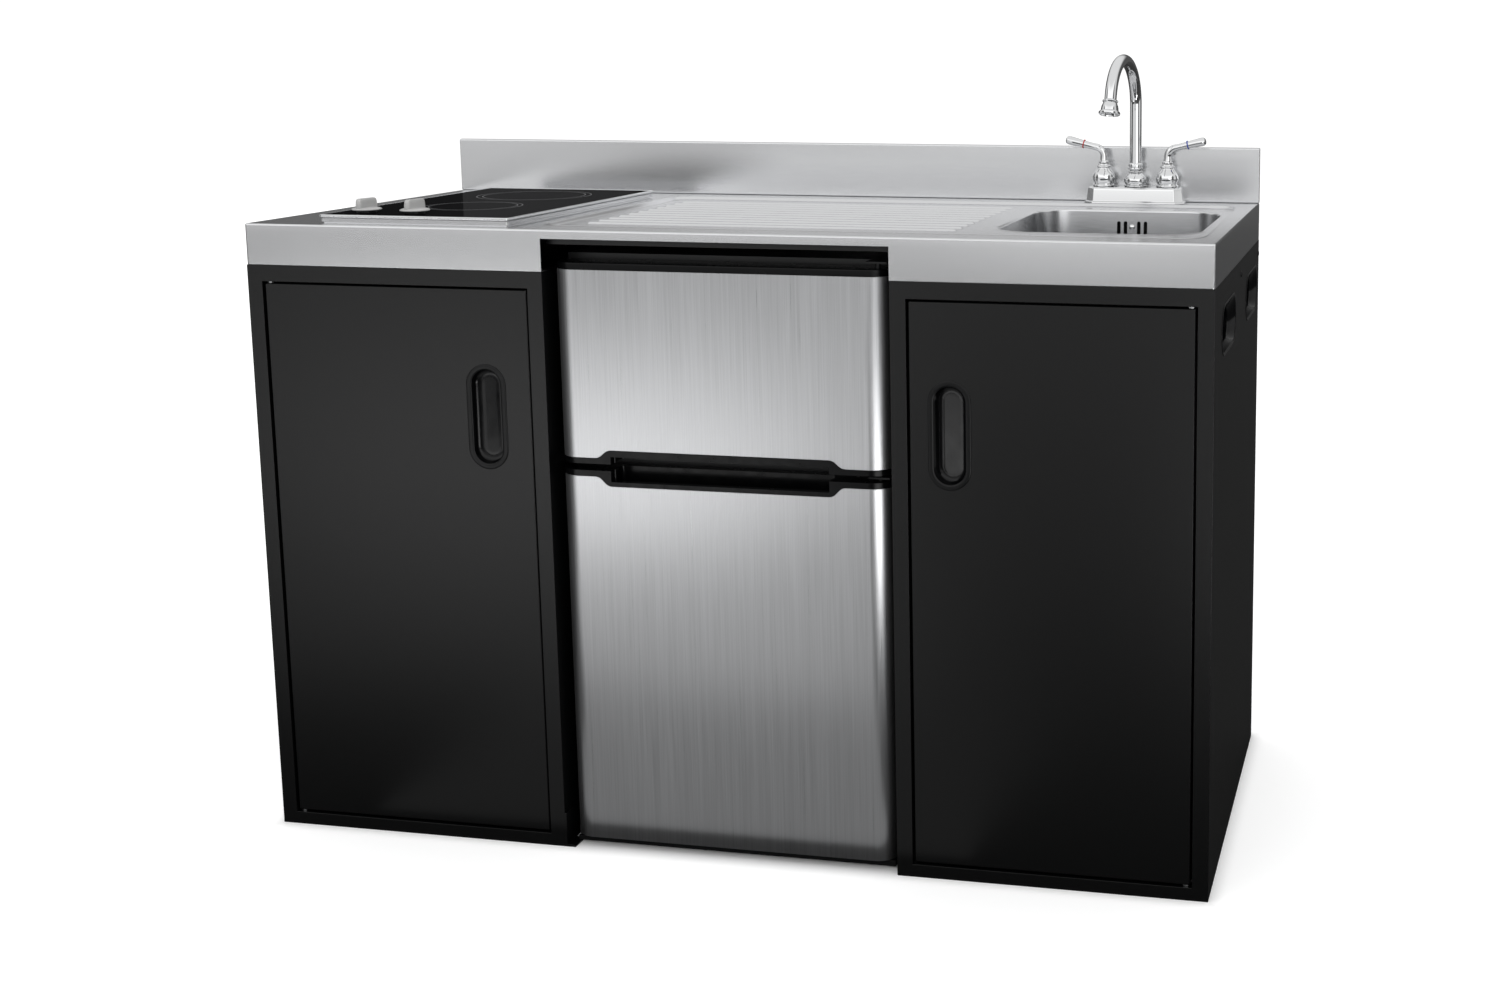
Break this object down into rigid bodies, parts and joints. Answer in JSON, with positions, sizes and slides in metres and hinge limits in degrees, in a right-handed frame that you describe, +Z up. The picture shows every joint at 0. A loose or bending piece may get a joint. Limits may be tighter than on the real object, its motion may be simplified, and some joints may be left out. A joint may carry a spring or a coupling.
{
  "type": "kitchenette unit with sink and hob",
  "caption": "Compact kitchen block: steel worktop with drainer, sink and tap, glass hob, two door cabinets and a built-under refrigerator with freezer",
  "frame": {"origin": "centre of the floor rectangle, midway between the outer sides and midway between the front and the rear edge", "axes": "+X to the right seen from the front, +Y from the front to the wall, +Z up"},
  "size_m": [1.372, 0.61, 1.1224],
  "materials": {
    "powder_black": "satin black powder coat, fine texture",
    "stainless": "satin stainless steel",
    "brushed_door": "vertically brushed stainless steel",
    "chrome": "polished chrome plate",
    "zinc_steel": "zinc-plated steel",
    "black_glass": "opaque black glass ceramic, polished",
    "clear_glass": "clear tempered glass",
    "black_enamel": "black enamel",
    "heater_board": "pale insulating board in a shallow pan",
    "white_knob": "white semi-gloss plastic",
    "white_liner": "white smooth plastic lining",
    "black_plastic": "black moulded plastic, fine grain",
    "grey_plastic": "pale grey plastic pipe",
    "frosted_plastic": "frosted translucent plastic",
    "grey_rubber": "dark grey magnetic gasket"
  },
  "bodies": {
    "unit": {"left_cabinet": "powder_black", "right_cabinet": "powder_black", "left_cabinet_floor": "powder_black", "right_cabinet_floor": "powder_black", "left_door_top_pin": "zinc_steel", "left_door_bottom_pin": "zinc_steel", "right_door_top_pin": "zinc_steel", "right_door_bottom_pin": "zinc_steel", "left_door_catch": "black_plastic", "right_door_catch": "black_plastic", "left_front_grip": "black_plastic", "left_rear_grip": "black_plastic", "right_front_grip": "black_plastic", "right_rear_grip": "black_plastic", "bay_bracket": "powder_black", "bay_rail": "powder_black", "worktop": "stainless", "backsplash": "stainless", "sink_bowl": "stainless", "overflow_pipe": "grey_plastic", "drain_body": "chrome", "waste_trap": "grey_plastic", "tap_base": "chrome", "hot_bell": "chrome", "cold_bell": "chrome", "spout_bell": "chrome", "hot_shank": "zinc_steel", "cold_shank": "zinc_steel", "hob_frame": "stainless", "hob_glass": "black_glass", "hob_body": "black_enamel", "radiant_heaters": "heater_board", "hob_regulators": "black_plastic", "fridge_cabinet": "white_liner", "fridge_base": "black_plastic", "top_hinge": "zinc_steel", "middle_hinge": "zinc_steel", "bottom_hinge": "zinc_steel", "fridge_shelf": "clear_glass", "crisper": "frosted_plastic", "compressor": "black_enamel", "thermostat_housing": "white_liner"},
    "left_door": {"left_door": "powder_black", "left_door_pull": "black_plastic"},
    "right_door": {"right_door": "powder_black", "right_door_pull": "black_plastic"},
    "freezer_door": {"freezer_door": "brushed_door", "freezer_handle": "black_plastic", "freezer_gasket": "grey_rubber"},
    "fridge_door": {"fridge_door": "brushed_door", "fridge_handle": "black_plastic", "fridge_gasket": "grey_rubber"},
    "spout": {"spout": "chrome", "spout_aerator": "chrome"},
    "hot_lever": {"hot_lever": "chrome"},
    "cold_lever": {"cold_lever": "chrome"},
    "left_knob": {"left_knob": "white_knob"},
    "right_knob": {"right_knob": "white_knob"},
    "drain_strainer": {"drain_strainer": "chrome"},
    "thermostat_dial": {"thermostat_dial": "white_knob"}
  },
  "joints": [
    {"name": "left_door_hinge", "type": "hinge", "parent": "unit", "child": "left_door", "pos_m": [-0.655, -0.297, 0.41225], "axis": [0, 0, -1], "range_deg": [0, 100]},
    {"name": "right_door_hinge", "type": "hinge", "parent": "unit", "child": "right_door", "pos_m": [0.655, -0.297, 0.41225], "axis": [0, 0, 1], "range_deg": [0, 100]},
    {"name": "freezer_door_hinge", "type": "hinge", "parent": "unit", "child": "freezer_door", "pos_m": [0.231, -0.277, 0.70275], "axis": [0, 0, 1], "range_deg": [0, 90]},
    {"name": "fridge_door_hinge", "type": "hinge", "parent": "unit", "child": "fridge_door", "pos_m": [0.231, -0.277, 0.2835], "axis": [0, 0, 1], "range_deg": [0, 90]},
    {"name": "spout_swivel", "type": "hinge", "parent": "unit", "child": "spout", "pos_m": [0.492, 0.266, 0.945], "axis": [0, 0, 1], "range_deg": [-80, 80]},
    {"name": "hot_lever_turn", "type": "hinge", "parent": "unit", "child": "hot_lever", "pos_m": [0.441, 0.266, 0.96], "axis": [0, 0, 1], "range_deg": [0, 90]},
    {"name": "cold_lever_turn", "type": "hinge", "parent": "unit", "child": "cold_lever", "pos_m": [0.543, 0.266, 0.96], "axis": [0, 0, -1], "range_deg": [0, 90]},
    {"name": "left_knob_turn", "type": "hinge", "parent": "unit", "child": "left_knob", "pos_m": [-0.537, -0.238, 0.905], "axis": [0, 0, -1], "range_deg": [0, 300]},
    {"name": "right_knob_turn", "type": "hinge", "parent": "unit", "child": "right_knob", "pos_m": [-0.462, -0.238, 0.905], "axis": [0, 0, -1], "range_deg": [0, 300]},
    {"name": "strainer_lift", "type": "slide", "parent": "unit", "child": "drain_strainer", "axis": [0, 0, 1], "range_m": [0, 0.02]},
    {"name": "thermostat_turn", "type": "hinge", "parent": "unit", "child": "thermostat_dial", "pos_m": [0.171, -0.115, 0.475], "axis": [-1, 0, 0], "range_deg": [0, 270]}
  ]
}
